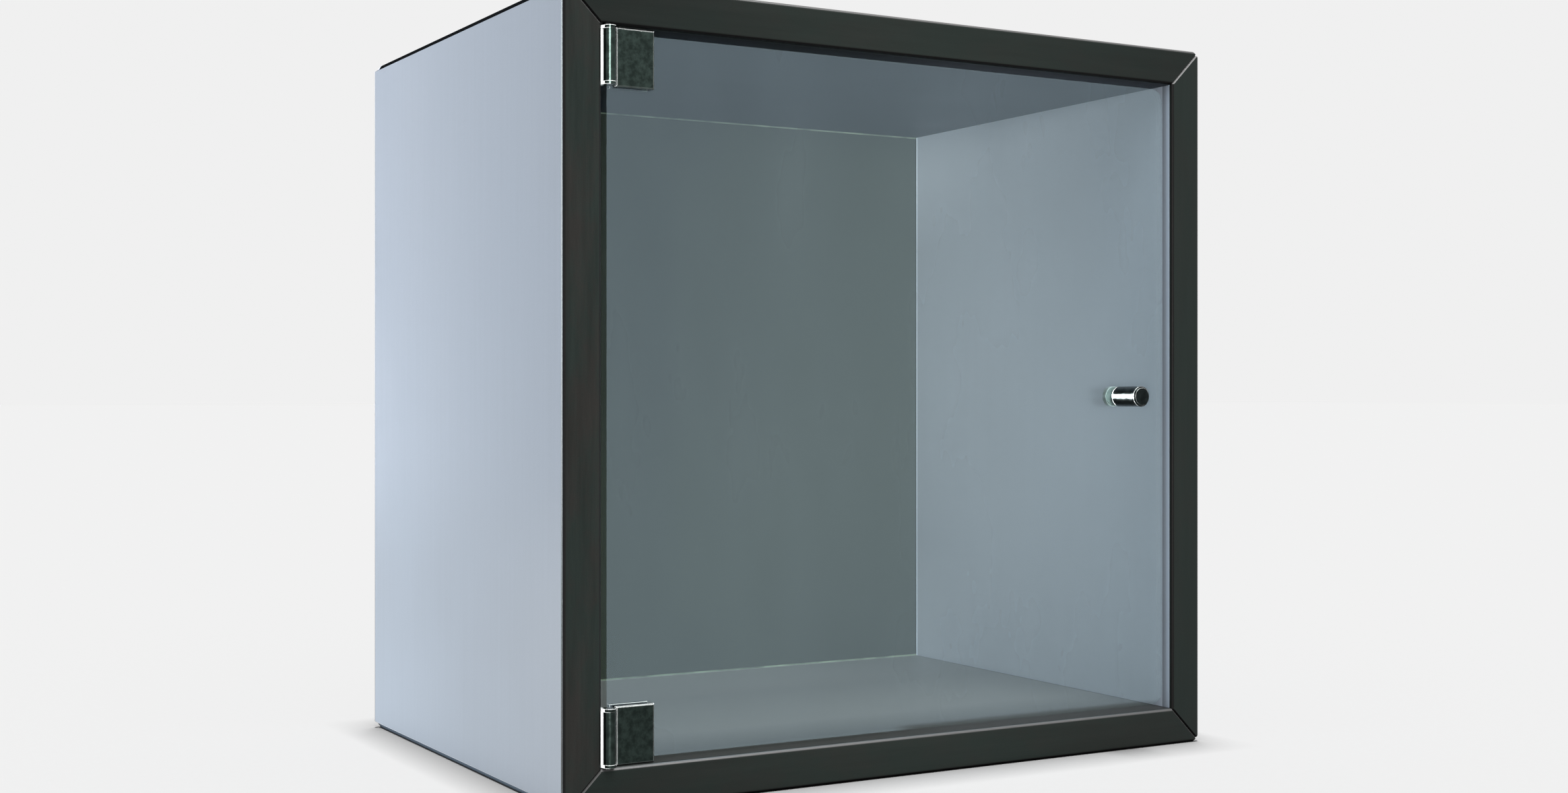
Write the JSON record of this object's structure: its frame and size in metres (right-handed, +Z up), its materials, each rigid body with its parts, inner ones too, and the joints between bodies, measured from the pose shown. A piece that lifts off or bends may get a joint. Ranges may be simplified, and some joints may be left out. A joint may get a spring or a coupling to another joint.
{
  "type": "display cabinet",
  "caption": "Square cabinet of mitred boards with dark rounded edging and an inset frameless glass door, hung on small glass-clamp hinges and pulled by a round metal knob.",
  "frame": {"origin": "centre of the flat underside, midway between the outer sides and between the front and rear faces", "axes": "+Z up, +Y to the rear, so the glass door faces -Y, and +X to the knob side"},
  "size_m": [0.35, 0.2624, 0.35],
  "materials": {
    "side_board": "smooth laminated board, satin",
    "dark_board": "smooth laminated board, satin",
    "edging": "fine-grained satin plastic edging",
    "back_panel": "thin laminated fibreboard, satin",
    "dowel": "plain beech",
    "chrome": "polished",
    "steel": "zinc plated",
    "pad": "matte",
    "glass": "clear toughened glass with eased edges",
    "washer": "clear soft plastic"
  },
  "bodies": {
    "cabinet": {"bottom_board": "dark_board", "right_board": "side_board", "top_board": "dark_board", "left_board": "side_board", "bottom_front_edging": "edging", "bottom_rear_edging": "edging", "right_front_edging": "edging", "right_rear_edging": "edging", "top_front_edging": "edging", "top_rear_edging": "edging", "left_front_edging": "edging", "left_rear_edging": "edging", "bottom_left_dowels": "dowel", "bottom_right_dowels": "dowel", "top_right_dowels": "dowel", "top_left_dowels": "dowel", "back_panel": "back_panel", "lower_hinge_bracket": "chrome", "lower_hinge_pin": "steel", "lower_bracket_screws": "steel", "upper_hinge_bracket": "chrome", "upper_hinge_pin": "steel", "upper_bracket_screws": "steel"},
    "door": {"glass_door": "glass", "lower_glass_clamp": "chrome", "lower_front_clamp_pad": "pad", "lower_rear_clamp_pad": "pad", "lower_clamp_grub_screws": "steel", "upper_glass_clamp": "chrome", "upper_front_clamp_pad": "pad", "upper_rear_clamp_pad": "pad", "upper_clamp_grub_screws": "steel", "knob": "chrome", "knob_rear_disc": "chrome", "knob_front_washer": "washer", "knob_rear_washer": "washer", "knob_screw": "steel"}
  },
  "joints": [
    {"name": "door_hinge", "type": "hinge", "parent": "cabinet", "child": "door", "pos_m": [-0.1536, -0.125, 0.175], "axis": [0, 0, -1], "range_deg": [0, 110]}
  ]
}
